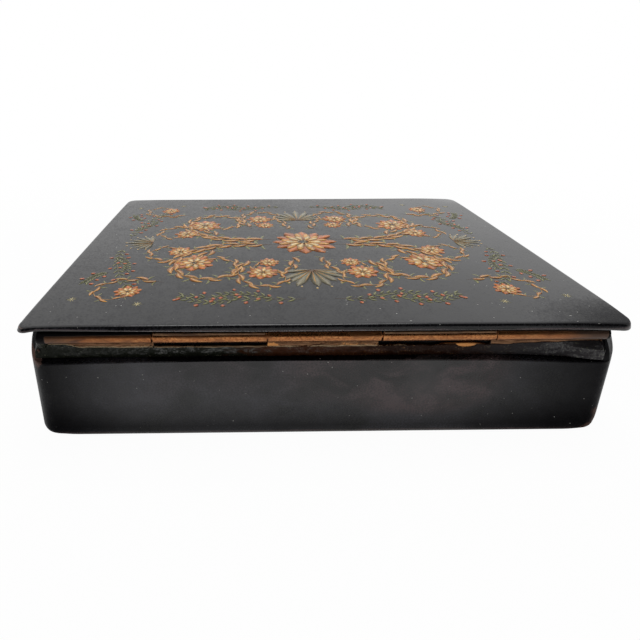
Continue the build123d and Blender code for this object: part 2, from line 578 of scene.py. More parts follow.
@dataclass(frozen=True)
class TemperaPaint:
    """Egg-tempera strokes under thin varnish, streaked along each stroke and thin in places."""

    name: str = "painted_strokes"
    ground: Colour = (0.016, 0.012, 0.010)
    gloss: float = 0.16
    varnish_ior: float = 1.38

    def material(self) -> Material:
        """Build the finish.

        Returns:
            The material.
        """
        material, g = blank_material(self.name)
        colour = g.add("Attribute", output="Color", attribute_name="paint")
        along = g.stretched(g.add("UVMap", uv_map="stroke"), 2.0, 9.0)
        # The map along a stroke has no unit, so a patch of size 1 in it is given in millimetres.
        streak = g.noise(along, 1 / MM, 3.0)
        thin = g.noise(g.place(), 2.4, 3.0)
        body = g.mixed(streak.step(0.30, 0.60) * 0.45 + 0.55, self.ground, colour)
        faded = g.mixed(thin.step(0.55, 0.80) * 0.6, body, self.ground)
        g.close(g.shader(Base_Color=faded, Roughness=streak * 0.08 + self.gloss, IOR=self.varnish_ior))
        return material


@dataclass(frozen=True)
class WornBrass:
    """Dull coppery brass with lengthwise draw marks, dark patina, and lacquer where it was brushed over."""

    name: str = "worn_brass"
    body: Colour = (0.355, 0.132, 0.046)
    bright: Colour = (0.60, 0.30, 0.120)
    patina: Colour = (0.090, 0.028, 0.010)
    grime: Colour = (0.070, 0.036, 0.021)
    lacquer: Colour = (0.006, 0.0055, 0.006)
    patina_share: float = 0.50
    relief: float = 0.06

    def material(self) -> Material:
        """Build the finish.

        Returns:
            The material.
        """
        material, g = blank_material(self.name)
        place = g.place()
        drawn = g.noise(g.stretched(place, 0.10), 0.8, 3.0)
        cloud = g.noise(g.stretched(place, 0.35), 2.6, 5.0, 0.6)
        hatch = g.noise(g.stretched(place, 0.7, z=1.4), 0.55)
        pits = g.specks(place, 0.9, 0.20, 0.35)
        aged = g.value_of("aged")
        covered = (aged + (cloud - 0.5) * 0.7).step(1.90, 2.05)
        tone = g.mixed(drawn.step(0.40, 0.80) * 0.4 + hatch.step(0.46, 0.70) * 0.35, self.body, self.bright)
        stain = cloud.step(0.44, 0.70) * self.patina_share + aged * 0.65
        stain = stain.most(pits * 0.7).most(hatch.step(0.50, 0.36) * 0.45)
        normal = g.raised(drawn * 0.35 + cloud * 0.65 - pits * 0.4 + covered, self.relief)
        metal = g.shader(
            Base_Color=g.mixed(stain, tone, g.mixed(aged.step(0.6, 1.3), self.patina, self.grime)),
            Metallic=1 - stain * 0.4,
            Roughness=drawn * 0.10 + stain * 0.16 + 0.20,
            IOR=1.5,
            Normal=normal,
        )
        skin = g.shader(Base_Color=(*self.lacquer, 1.0), Roughness=0.4, IOR=1.12, Normal=normal)
        g.close(g.blend(covered, metal, skin))
        return material


@dataclass(frozen=True)
class BrushedOverLeaf:
    """Sheet brass that was lacquered over by brush: a rough dark skin, chipped and thin along its edge, with
    a pale worn line that is partly a painted highlight.
    """

    name: str = "lacquered_leaf"
    green_black: Colour = (0.014, 0.016, 0.011)
    brown: Colour = (0.066, 0.021, 0.0080)
    dark_brown: Colour = (0.026, 0.0095, 0.0050)
    grey_black: Colour = (0.032, 0.029, 0.031)
    fleck: Colour = (0.200, 0.105, 0.042)
    grey_fleck: Colour = (0.125, 0.128, 0.090)
    stain: Colour = (0.050, 0.022, 0.011)
    dull_brass: Colour = (0.210, 0.112, 0.060)
    bright_brass: Colour = (0.52, 0.235, 0.080)
    worn_line_and_highlight: Colour = (0.56, 0.415, 0.255)
    length: float = 190.0
    relief: float = 0.30

    def material(self) -> Material:
        """Build the finish.

        Returns:
            The material.
        """
        material, g = blank_material(self.name)
        place = g.place()
        along = g.axis(place, "X") * (1 / (self.length * MM)) + 0.5
        rough = g.noise(g.stretched(place, 0.45), 1.8, 5.0, 0.8)
        fine = g.noise(place, 0.6, 3.0)
        streak = g.noise(g.stretched(place, 0.10), 0.45, 3.0)
        stops = (
            (0.0, self.grey_black), (0.16, self.grey_black), (0.28, self.dark_brown), (0.38, self.dark_brown),
            (0.46, self.brown), (0.58, self.brown), (0.68, self.green_black),
        )
        tint = g.ramp(along + (rough - 0.5) * 0.25, stops)
        kept = g.value_of("bare")
        bare = (kept + (rough - 0.5) * 0.9 + (fine - 0.5) * 0.5).step(0.58, 0.72)
        dull = g.mixed(streak.step(0.36, 0.62), self.stain, self.dull_brass)
        brass = g.mixed((kept + (fine - 0.5) * 0.8).step(0.95, 1.20), dull, self.bright_brass)
        at_ends = along.step(0.55, 0.66).most(1 - along.step(0.16, 0.30))
        fleck = g.mixed(at_ends, self.fleck, self.grey_fleck)
        flecked = g.mixed(fine.step(0.56, 0.68) * rough.step(0.45, 0.60) * 0.8, tint, fleck)
        wet = along.step(0.38, 0.50) * 0.24 + along.step(0.58, 0.68) * 0.72
        wet = wet + (1 - along.step(0.08, 0.16)) * 0.50 + 0.12
        wet = wet * (1 - along.step(0.74, 0.92) * 0.72) * (1 - along.step(0.965, 0.985))
        dabs = (rough * 0.5 + fine * 0.5).step(0.45, 0.58) * wet
        # The line value paints the pale worn edge of the skin, which is partly a painted highlight.
        line = (g.value_of("line") + (fine - 0.5) * 0.9 + (rough - 0.5) * 0.8).step(0.55, 0.75)
        metal = bare.most(line)
        g.close(g.shader(
            Base_Color=g.mixed(line, g.mixed(bare, flecked, brass), self.worn_line_and_highlight),
            Metallic=bare * 0.85 * (1 - line * 0.6),
            Roughness=rough * 0.34 + metal * 0.10 + 0.10,
            Coat_Weight=dabs * (1 - metal),
            Coat_Roughness=0.10,
            IOR=1.14,
            Normal=g.raised(rough * 0.7 + fine * 0.3 - bare * 0.4, self.relief),
        ))
        return material


@dataclass
class Lid:
    """Flat lid plate with rounded edges and rubbed-down corners, and the red rim under it.

    An edge arc is a first tilt, a last tilt and a radius. The rub of the edge is a strength, a middle tilt
    and a reach, and other wear is a strength and the two distances between which it comes or goes. A pair is
    a run from one place to another, but the droop's reach is along X and along Y.
    """

    corner_radius: float = 5.0
    least_radius: float = 0.4
    side_bow: float = 0.4
    under_round: float = 0.22
    edge_arcs: tuple[Triple, ...] = ((0.0, 12.0, 3.0), (12.0, 45.0, 0.75), (45.0, 77.0, 1.25))
    arc_steps: int = 5
    edge_rub: Triple = (0.5, 50.0, 14.0)
    back_hollow: float = 0.35
    back_thinning: float = 0.88
    thinned: Span = (8.0, 92.0)
    thinning_power: float = 1.9
    thinning_end: Triple = (0.55, 0.0, 6.0)
    thinning_depth: Span = (9.0, 3.0)
    lip_highlight_height: float = 0.7
    lip_highlight_fade: float = 0.6
    lip_reach: float = 1.5
    red_from: float = 8.0
    tip_push: float = 0.9
    paint_room: float = 0.14
    swell: float = 0.02
    swell_length: float = 60.0
    droop: float = 0.55
    droop_skew: float = 0.4
    droop_reach: Span = (26.0, 17.0)
    hang: float = 0.80
    hang_skew: float = 0.50
    border: float = 14.0
    border_rings: int = 14
    core_rings: int = 26
    core_least: float = 0.03
    under_rings: int = 6
    cove_lift: float = 0.35
    cove_soft: float = 0.4
    rim_radius: float = 2.0
    rim_width: float = 4.0
    rim_lead_in: float = 0.6
    rim_soft: float = 0.3
    tip_rub: Triple = (0.55, 2.0, 5.5)
    dull_all: float = 0.09
    dull_corner: Triple = (0.83, 6.0, 44.0)
    dull_far: Triple = (0.08, 0.0, 70.0)
    clear_west: Triple = (0.20, 10.0, 50.0)
    haze_all: float = 0.10
    haze_lip: float = 2.9
    low: Array = corner_field("lid_plate", 0)
    high: Array = corner_field("lid_plate", 1)

    def top_height(self, x: Array, y: Array) -> Array:
        """Height of the top: flat, less a faint swell and the droop of the corners."""
        swell = self.swell * (1 + ripple(x, y, self.swell_length, 3))
        return self.high[2] - self.paint_room - self.corner_droop(x, y) - swell

    def corner_droop(self, x: Array, y: Array) -> Array:
        """How far each corner hangs: a square of nearness on both sides, deeper at the -X end."""
        near = 1 - (self.high[:2] - np.abs(np.stack([x, y], axis=-1))) / self.droop_reach
        return self.droop * (1 - self.droop_skew * np.sign(x)) * np.clip(near, 0.0, 1.0).prod(axis=-1) ** 2

    def corner_hang(self, x: Array, y: Array) -> Array:
        """How far the underside follows each drooping corner, more at -X; behind, it thins towards +X."""
        return self.corner_droop(x, y) * (self.hang - self.hang_skew * np.sign(x)) - self.back_rise(x, y)

    def back_rise(self, x: Array, y: Array) -> Array:
        """How far the back edge thins from below towards +X, as a power of the distance along it.

        Args:
            x: width positions.
            y: depth positions.

        Returns:
            Heights.
        """
        along = np.interp(x, self.thinned, (0, 1)) ** self.thinning_power
        along = along * (1 - climb(x - self.thinned[1], *self.thinning_end))
        return self.back_thinning * along * soft_step(y, *(self.high[1] - np.array(self.thinning_depth)))

    def outline(self, inset: float) -> Array:
        """The lid's outline drawn in by an inset.

        The sides bow out as 1 - (y / half depth)^2, the back is a little hollow, and one corner stands out.

        Args:
            inset: distance from the edge.

        Returns:
            An array of (x, y) rows.
        """
        half = self.high[:2]
        ring = rounded_outline(*(half - inset), max(self.corner_radius - inset, self.least_radius))
        x, y = (ring / half).T
        bow = 1 - self.side_bow / half[0] * y**2
        hollow = np.where(x > 0, (1 + 0.3 * x) * (1 - soft_step(x, 0.90, 1.0)), 1 - x**2)
        hollow = self.back_hollow * hollow * np.clip(y, 0.0, 1.0) ** 8
        tip = self.tip_push * np.clip(1 - (half - ring) / self.corner_radius, 0.0, 1.0).prod(axis=1)
        return np.column_stack([ring[:, 0] * bow + tip, ring[:, 1] - hollow + tip])

    def edge_profile(self) -> Array:
        """Section of the edge from the flat top outwards: arcs of growing tilt, then a steep face.

        An arc from tilt a to tilt b with radius r runs r (sin b - sin a) outwards and r (cos a - cos b) down.

        Returns:
            Rows of inset, drop and tilt in degrees.
        """
        slope, steps = self.edge_arcs[-1][1], np.array([0.4, 0.8, 1.0])
        runs = [np.linspace(a, b, self.arc_steps, endpoint=False) for a, b, _ in self.edge_arcs]
        tilt = np.concatenate([*runs, [slope]])
        radius = np.repeat([r for _, _, r in self.edge_arcs], self.arc_steps)
        out = np.append(0.0, np.cumsum(radius * np.diff(np.sin(np.radians(tilt)))))
        drop = np.append(0.0, np.cumsum(-radius * np.diff(np.cos(np.radians(tilt)))))
        face = self.high[2] - self.low[2] - self.paint_room - self.under_round - drop[-1]
        out = np.append(out, out[-1] + steps * face / math.tan(math.radians(slope)))
        drop = np.append(drop, drop[-1] + steps * face)
        return np.column_stack([out[-1] - out, drop, np.append(tilt, np.full(len(steps), slope))])

    def plate(self) -> Surface:
        """The plate as rings: the top from its middle out, round the edge by its profile, and back below.

        Returns:
            A closed surface with its wear.
        """
        core = self.outline(self.border)
        shrink = np.linspace(self.core_least, 1.0, self.core_rings)[:-1]
        profile = self.edge_profile()
        insets = np.linspace(self.border, profile[0, 0], self.border_rings)[:-1]
        flat = [core * share for share in shrink] + [self.outline(inset) for inset in insets]
        rows = [Ring(ring, self.top_height(*ring.T)) for ring in flat]
        for inset, drop, tilt in profile:
            ring = self.outline(inset)
            thinned = self.back_rise(*ring.T) * (drop / profile[-1, 1]) ** 2
            height = self.top_height(*ring.T) - drop + thinned
            rows.append(Ring(ring, height, spot(tilt, *self.edge_rub)))
        for angle in quarter_turn(self.under_rings):
            ring = self.outline(self.under_round * (1 - math.cos(angle)))
            height = self.low[2] + self.under_round * (1 - math.sin(angle))
            rows.append(Ring(ring, height - self.corner_hang(*ring.T)))
        (west, face_y, _), (east, _, _) = box_of("base_leaf")
        for inset in np.linspace(1.0, self.border, self.border_rings):
            ring = self.outline(inset)
            x, y = ring.T
            bay = soft_step(y, face_y - self.cove_soft, face_y) * (x > west) * (x < east)
            height = self.low[2] + self.cove_lift * bay - self.corner_hang(x, y) * (inset < self.lip_reach)
            rows.append(Ring(ring, height, inside=float(inset > self.red_from)))
        rows += [Ring(core * share, self.low[2], inside=1.0) for share in shrink[::-3]]
        return self.wear(Surface.lacquered(rows, np.array([row.points() for row in rows]), closed=False))

    def wear(self, plate: Surface) -> Surface:
        """Keep a painted highlight along the lower lip, the rubbed tips, and gloss that is lost at the -X
        back corner.

        Args:
            plate: the bare surface.

        Returns:
            The same surface.
        """
        x, y, z = plate.points.T
        # The lower lip is painted pale and kept fully glossy: a painted highlight where the edge mirrors the
        # table.
        lip_top = self.low[2] + self.lip_highlight_height + self.back_rise(x, y) * 1.25
        lip = soft_step(lip_top - z, 0.0, self.lip_highlight_fade) * (np.abs(y) > self.high[1] - self.lip_reach)
        tips = np.hypot(np.abs(x) - self.high[0], y - self.high[1])
        plate.values["edge"] += patch(tips, *self.tip_rub)
        corner = np.hypot(x - self.low[0], (y - self.high[1]) * 1.6)
        dull = self.dull_all - climb(-x, *self.clear_west) + patch(corner, *self.dull_corner)
        dull = dull + climb(-y, *self.dull_far) * (x > 0)
        return plate.keep(haze=self.haze_all + self.haze_lip * lip, dull=dull * (1 - lip))

    def rim(self) -> Surface:
        """The locating rim: a rectangular section with a lead-in below, carried round a rounded rectangle.

        Returns:
            A closed ring surface.
        """
        low, high = box_of("lid_rim")
        floor, lead, width, soft = low[2], self.rim_lead_in, self.rim_width, self.rim_soft
        section = (
            (0.0, high[2]), (0.0, floor + lead), (lead * 0.3, floor + lead * 0.3), (lead, floor),
            (width - soft, floor), (width - soft * 0.3, floor + soft * 0.3), (width, floor + soft),
            (width, high[2]),
        )
        rings = []
        for inset, height in section:
            radius = max(self.rim_radius - inset, self.least_radius)
            rings.append(Ring(rounded_outline(*(high[:2] - inset), radius), height).points())
        return Surface.from_rings(np.array(rings), closed=True).keep(edge=0.0, haze=0.0, dull=0.0, inside=1.0)

    def build(self, lacquer: Material) -> None:
        """Put the plate and the rim into the scene."""
        self.plate().piece("lid_plate_lacquered", lacquer, "lid", "black_lacquer", "lid_plate")
        self.rim().piece("lid_rim_lacquered", lacquer, "lid", "red_lacquer", "lid_rim")


class Stroke(Enum):
    """Outline of a brush stroke, by how its width runs from root to tip."""

    LEAF = "leaf"
    PETAL = "petal"
    DOT = "dot"
    LINE = "line"

    def width_at(self, share: Array) -> Array:
        """Width as a part of the widest place.

        Args:
            share: places along the stroke, 0 at the root and 1 at the tip.

        Returns:
            Values from near 0 to 1.
        """
        if self is Stroke.LEAF:
            width = np.abs(np.sin(math.pi * share**0.72)) ** 0.85
        elif self is Stroke.PETAL:
            width = np.abs(np.sin(math.pi * share**1.55)) ** 0.75
        elif self is Stroke.DOT:
            width = np.sqrt(1 - (2 * share - 1) ** 2)
        else:
            width = (1 - 0.75 * share) * np.clip(share * 12, 0.2, 1.0)
        return np.maximum(width, 0.05)


@dataclass
class Strokes:
    """A batch of brush strokes of one outline on the lid, each bending from root to tip.

    Values may be single or one for each stroke; angles are in radians, root and tip are colours.
    """

    origin: Array
    heading: Number
    length: Number
    width: Number
    bend: Number
    root: Array
    tip: Array
    outline: Stroke
    layer: int = 0
    curl: float = 1.0
    rows: int = 8

    def __post_init__(self) -> None:
        """Spread single values over all strokes."""
        self.origin = np.atleast_2d(np.asarray(self.origin, float))
        count = len(self.origin)
        shapes = dict.fromkeys(("heading", "length", "width", "bend"), (count,))
        for name, shape in (shapes | {"root": (count, 3), "tip": (count, 3)}).items():
            setattr(self, name, np.broadcast_to(np.asarray(getattr(self, name), float), shape))

    @property
    def is_loose(self) -> bool:
        """Whether the hand varies heading and length; lines keep theirs, since leaves stand on them."""
        return self.outline is not Stroke.LINE

    def mirrored(self, across: str) -> "Strokes":
        """The strokes with their mirror images.

        Args:
            across: "x" mirrors left to right, "y" front to back, "xy" both ways.

        Returns:
            A batch one, two or four times as large.
        """
        columns, rows = ((1, -1) if axis in across else (1,) for axis in "xy")
        flips = [(a, b) for a in columns for b in rows]
        headings = [(self.heading if a > 0 else math.pi - self.heading) * b for a, b in flips]
        same = ("length", "width", "root", "tip")
        return replace(
            self,
            origin=np.concatenate([self.origin * flip for flip in flips]),
            heading=np.concatenate(headings),
            bend=np.concatenate([self.bend * (a * b) for a, b in flips]),
            **{name: np.concatenate([getattr(self, name)] * len(flips)) for name in same},
        )

    def spine(self) -> tuple[Array, Array]:
        """Middle line of each stroke: even steps whose heading turns as the power curl of the share.

        Returns:
            Points of stroke, row, coordinate, and the heading at each.
        """
        share = np.linspace(0.0, 1.0, self.rows)
        angle = self.heading[:, None] + self.bend[:, None] * share**self.curl
        step = unit(angle)
        run = np.cumsum((step[:, 1:] + step[:, :-1]) / 2, axis=1)
        run = np.concatenate([np.zeros_like(run[:, :1]), run], axis=1)
        return self.origin[:, None] + run * (self.length / (self.rows - 1))[:, None, None], angle

    def surface(self, lid: Lid, rng: np.random.Generator) -> Surface:
        """Thin closed strokes on the lid: each row is a flat diamond of two borders, a ridge and a keel.

        Args:
            lid: the lid that carries them.
            rng: source of the hand's small differences.

        Returns:
            A surface with paint colours and a map along and across each stroke.
        """
        count, rows, border, ridge, keel, coat = len(self.origin), self.rows, -0.008, 0.026, -0.06, 0.022
        loose = replace(self, heading=self.heading + rng.normal(0.0, 0.05, count) * self.is_loose)
        if self.is_loose:
            loose = replace(loose, length=self.length * rng.uniform(0.90, 1.08, count))
        spine, angle = loose.spine()
        share, side = np.linspace(0.0, 1.0, rows), np.array([1.0, 0.0, -1.0, 0.0])
        half = 0.5 * (self.width * rng.uniform(0.88, 1.12, count))[:, None] * self.outline.width_at(share)
        left = np.stack([-np.sin(angle), np.cos(angle)], axis=-1)
        flat = spine[:, :, None] + (half[..., None] * side)[..., None] * left[:, :, None]
        lift = np.array([border, ridge, border, keel]) + self.layer * coat * np.array([1, 1, 1, 0])
        height = lid.top_height(flat[..., 0], flat[..., 1]) + lift
        points = np.concatenate([flat, height[..., None]], axis=-1).reshape(-1, 3)
        stroke, row, corner = np.meshgrid(np.arange(count), np.arange(rows - 1), np.arange(4), indexing="ij")
        here, after = (stroke * rows + row) * 4, (corner + 1) % 4
        band = np.stack([here + corner, here + after, here + 4 + after, here + 4 + corner], axis=-1)
        first = np.arange(count)[:, None] * rows * 4
        caps = [first + [3, 2, 1, 0], first + (rows - 1) * 4 + [0, 1, 2, 3]]
        quads = np.concatenate([band.reshape(-1, 4), *caps])
        tone = self.root[:, None] * (1 - share[:, None]) + self.tip[:, None] * share[:, None]
        tone = tone * rng.uniform(0.82, 1.18, (count, 1, 1))
        # Each stroke's borders are darker than its ridge: partly a painted outline, partly painted shade of
        # the domed stroke.
        rim = np.where(side == 0.0, 1.0, 0.72)
        colours = (tone[:, :, None] * rim[:, None]).clip(0.0, 1.0).reshape(-1, 3)
        along = share * self.length[:, None] / 6 + rng.uniform(0.0, 40.0, (count, 1))
        across = np.stack(np.broadcast_arrays(along[..., None], side * 0.5 + 0.5), axis=-1).reshape(-1, 2)
        return Surface(points, quads, values={"paint": colours, "stroke": across})


@dataclass(frozen=True)
class Palette:
    """The ornament's paints."""

    gold: Colour = (0.74, 0.38, 0.070)
    amber: Colour = (0.62, 0.185, 0.030)
    rust: Colour = (0.33, 0.055, 0.018)
    cream: Colour = (0.82, 0.68, 0.38)
    olive: Colour = (0.30, 0.28, 0.085)
    moss: Colour = (0.085, 0.098, 0.042)
    umber: Colour = (0.085, 0.036, 0.018)
    red: Colour = (0.42, 0.060, 0.030)
    stone: Colour = (0.26, 0.22, 0.14)


@dataclass(frozen=True)
class Vine:
    """One vine in a quarter of the lid: its start and run, and the size of its leaves and blossom."""

    start: Span
    heading: float
    length: float
    turn: float
    width: float
    leaf: float
    blossom: float = 0.0
    curl: float = 1.9


@dataclass
class Ornament:
    """Scrolling vines, blossoms, fans and budding twigs, alike in the four quarters of the lid."""

    lid: Lid
    paints: Palette = Palette()
    vines: tuple[Vine, ...] = (
        Vine((12, 4), -6, 124, 430, 1.1, 8.2, 8.5),
        Vine((40, 7), 62, 62, -330, 0.8, 6.4, 6.0),
        Vine((24, 20), 60, 60, 330, 0.8, 6.4, 6.5),
        Vine((58, 44), -20, 50, 300, 0.7, 5.6, 5.0),
        Vine((7, 17), 96, 44, -290, 0.7, 5.6, 4.5),
    )
    twigs: tuple[Vine, ...] = (
        Vine((5, 59), 2, 46, -14, 0.45, 3.3, curl=1.0),
        Vine((16, 59), -38, 20, 50, 0.40, 3.0, curl=1.0),
        Vine((30, 59), 30, 20, -70, 0.40, 3.0, curl=1.0),
        Vine((82, 6), 88, 44, 34, 0.45, 3.3, curl=1.0),
        Vine((83, 18), 150, 17, -60, 0.40, 3.0, curl=1.0),
        Vine((81, 34), 30, 12, 50, 0.40, 2.8, curl=1.0),
    )
    stars: tuple[Span, ...] = ((64.0, 62.0), (88.0, 58.0), (14.0, 24.0))
    leaf_pitch: float = 4.0
    petals: int = 9
    lobes: int = 9
    fan_spread: float = 78.0
    seed: int = 7
    groups: dict[str, list[Strokes]] = field(default_factory=dict)

    def paint(
        self, group: str, outline: Stroke, layer: int, tones: tuple[Colour, Colour], *shape: Number,
        across: str = "xy", **more: float,
    ) -> Strokes:
        """Keep a batch of strokes and its mirror images under a group's name.

        Args:
            group: the piece that they belong to.
            outline: how the width runs.
            layer: place in the order of painting.
            tones: colours at root and tip.
            shape: roots, headings, lengths, widths and bends.
            across: the ways in which they are mirrored.
            more: curl and rows.

        Returns:
            The batch without its mirror images.
        """
        batch = Strokes(*shape, *tones, outline, layer, **more)
        self.groups.setdefault(group, []).append(batch.mirrored(across))
        return batch

    def stem(self, vine: Vine, tip: Colour, rows: int) -> tuple[Array, Array]:
        """Paint the tapering line of a vine or twig.

        Args:
            vine: the vine.
            tip: colour at its tip.
            rows: points along it.

        Returns:
            The points of the line and the heading at each.
        """
        line = self.paint(
            "painted_vines", Stroke.LINE, 1, (self.paints.umber, tip), vine.start, math.radians(vine.heading),
            vine.length, vine.width, math.radians(vine.turn), curl=vine.curl, rows=rows,
        )
        (points,), (angle,) = line.spine()
        return points, angle

    def vine(self, vine: Vine) -> None:
        """Paint a vine: its line, leaves on both sides by turns, and its blossom.

        Each leaf is an olive stroke behind, a gold one, and a cream glint on top.

        Args:
            vine: the vine.
        """
        p = self.paints
        points, angle = self.stem(vine, p.gold, 70)
        count = int(vine.length / self.leaf_pitch)
        share = np.linspace(0.06, 0.92, count)
        row = (share * (len(points) - 1)).astype(int)
        side = np.where(np.arange(count) % 2 == 0, 1.0, -1.0)
        size, bend = vine.leaf * (1.1 - 0.5 * share), side * math.radians(62)
        leaves = (
            (0, (p.moss, p.olive), 74, 0.74, 0.24, bend),
            (2, (p.rust, p.gold), 42, 1.0, 0.36, -bend),
            (3, (p.gold, p.cream), 46, 0.72, 0.08, -bend),
        )
        for layer, tones, spread, long, wide, turn in leaves:
            heading = angle[row] + side * math.radians(spread)
            shape = (points[row], heading, size * long, size * wide, turn)
            self.paint("painted_leaves", Stroke.LEAF, layer, tones, *shape)
        self.blossom(points[-1], vine.blossom, self.petals, "xy")

    def twig(self, twig: Vine) -> None:
        """Paint a twig: a thin line, pairs of olive leaves, and red buds at every third leaf of each side.

        Args:
            twig: the twig.
        """
        p = self.paints
        points, angle = self.stem(twig, p.olive, 24)
        row = np.arange(2, len(points), 2 if twig.length > 30 else 3)
        for side, first in ((1, 1), (-1, 2)):
            heading = angle[row] + side * math.radians(48)
            shape = (points[row], heading, twig.leaf, twig.leaf * 0.34, -side * 0.5)
            self.paint("painted_leaves", Stroke.LEAF, 2, (p.moss, p.olive), *shape)
            bud = row[first::3]
            away = angle[bud] + side * math.radians(70)
            place = points[bud] + 2.2 * unit(away)
            self.paint("painted_buds", Stroke.DOT, 3, (p.red, p.amber), place, away, 1.9, 1.7, 0.0)

    def blossom(self, centre: Array, reach: float, petals: int, across: str) -> None:
        """Paint a blossom: three rings of petals, from rust outside to cream inside, and a ring of dots.

        Args:
            centre: middle of the blossom.
            reach: radius.
            petals: petals in the outer ring.
            across: the ways in which it is mirrored.
        """
        p, dots, dot = self.paints, 7, reach * 0.10
        rings = (
            (1.0, petals, (p.rust, p.amber), 0.0), (0.72, petals, (p.amber, p.gold), 0.5),
            (0.46, petals - 2, (p.gold, p.cream), 0.0),
        )
        for layer, (part, count, tones, turn) in enumerate(rings, 1):
            angle = (np.arange(count) + turn) * 2 * math.pi / count
            width = reach * part * 2 * math.pi / count * 0.8
            shape = (centre + 0.12 * reach * unit(angle), angle, reach * part * 0.9, width, 0.0)
            self.paint("painted_blossoms", Stroke.PETAL, layer, tones, *shape, across=across)
        place = centre + 0.13 * reach * unit(np.arange(dots) * 2 * math.pi / dots)
        shape = (place, 0.0, dot, dot, 0.0)
        self.paint("painted_blossoms", Stroke.DOT, 4, (p.umber, p.cream), *shape, across=across)

    def fan(self, root: Span, heading: float, reach: float, across: str) -> None:
        """Paint a fan of grey-green lobes with gold ribs and cream tips.

        Args:
            root: where the lobes meet.
            heading: direction of the middle lobe, in degrees.
            reach: length of the middle lobe.
            across: the ways in which it is mirrored.
        """
        p, spread = self.paints, np.radians(np.linspace(-self.fan_spread, self.fan_spread, self.lobes))
        angle, length = math.radians(heading) + spread, reach * (0.62 + 0.38 * np.cos(spread))
        place = np.tile(root, (self.lobes, 1))
        tips = place + (length * 0.98)[:, None] * unit(angle)
        lobes = (place, angle, length, reach * 0.24, 0.0)
        ribs = (place, angle, length * 0.7, reach * 0.05, 0.0)
        beads = (tips, angle, 1.1, 1.0, 0.0)
        self.paint("painted_leaves", Stroke.PETAL, 1, (p.moss, p.stone), *lobes, across=across)
        self.paint("painted_leaves", Stroke.LEAF, 2, (p.umber, p.gold), *ribs, across=across)
        self.paint("painted_buds", Stroke.DOT, 2, (p.cream, p.gold), *beads, across=across)

    def star(self, centre: Span) -> None:
        """Paint a small star of eight thin rays."""
        shape = (np.tile(centre, (8, 1)), np.arange(8) * math.pi / 4, 1.9, 0.34, 0.0)
        self.paint("painted_buds", Stroke.LEAF, 1, (self.paints.cream, self.paints.olive), *shape, rows=4)

    def build(self, paint: Material) -> None:
        """Lay out the ornament and put each group of strokes on the lid as one piece.

        Args:
            paint: the strokes' finish.
        """
        self.blossom(np.zeros(2), 15.0, 12, "")
        for vine in self.vines:
            self.vine(vine)
        for twig in self.twigs:
            self.twig(twig)
        self.fan((0.0, 33.0), 90.0, 17.0, "y")
        self.fan((70.0, 0.0), 0.0, 12.0, "x")
        for centre in self.stars:
            self.star(centre)
        rng = np.random.default_rng(self.seed)
        for name, batches in self.groups.items():
            surfaces = [batch.surface(self.lid, rng) for batch in batches]
            reduce(Surface.joined, surfaces).piece(name, paint, "lid", "black_lacquer")


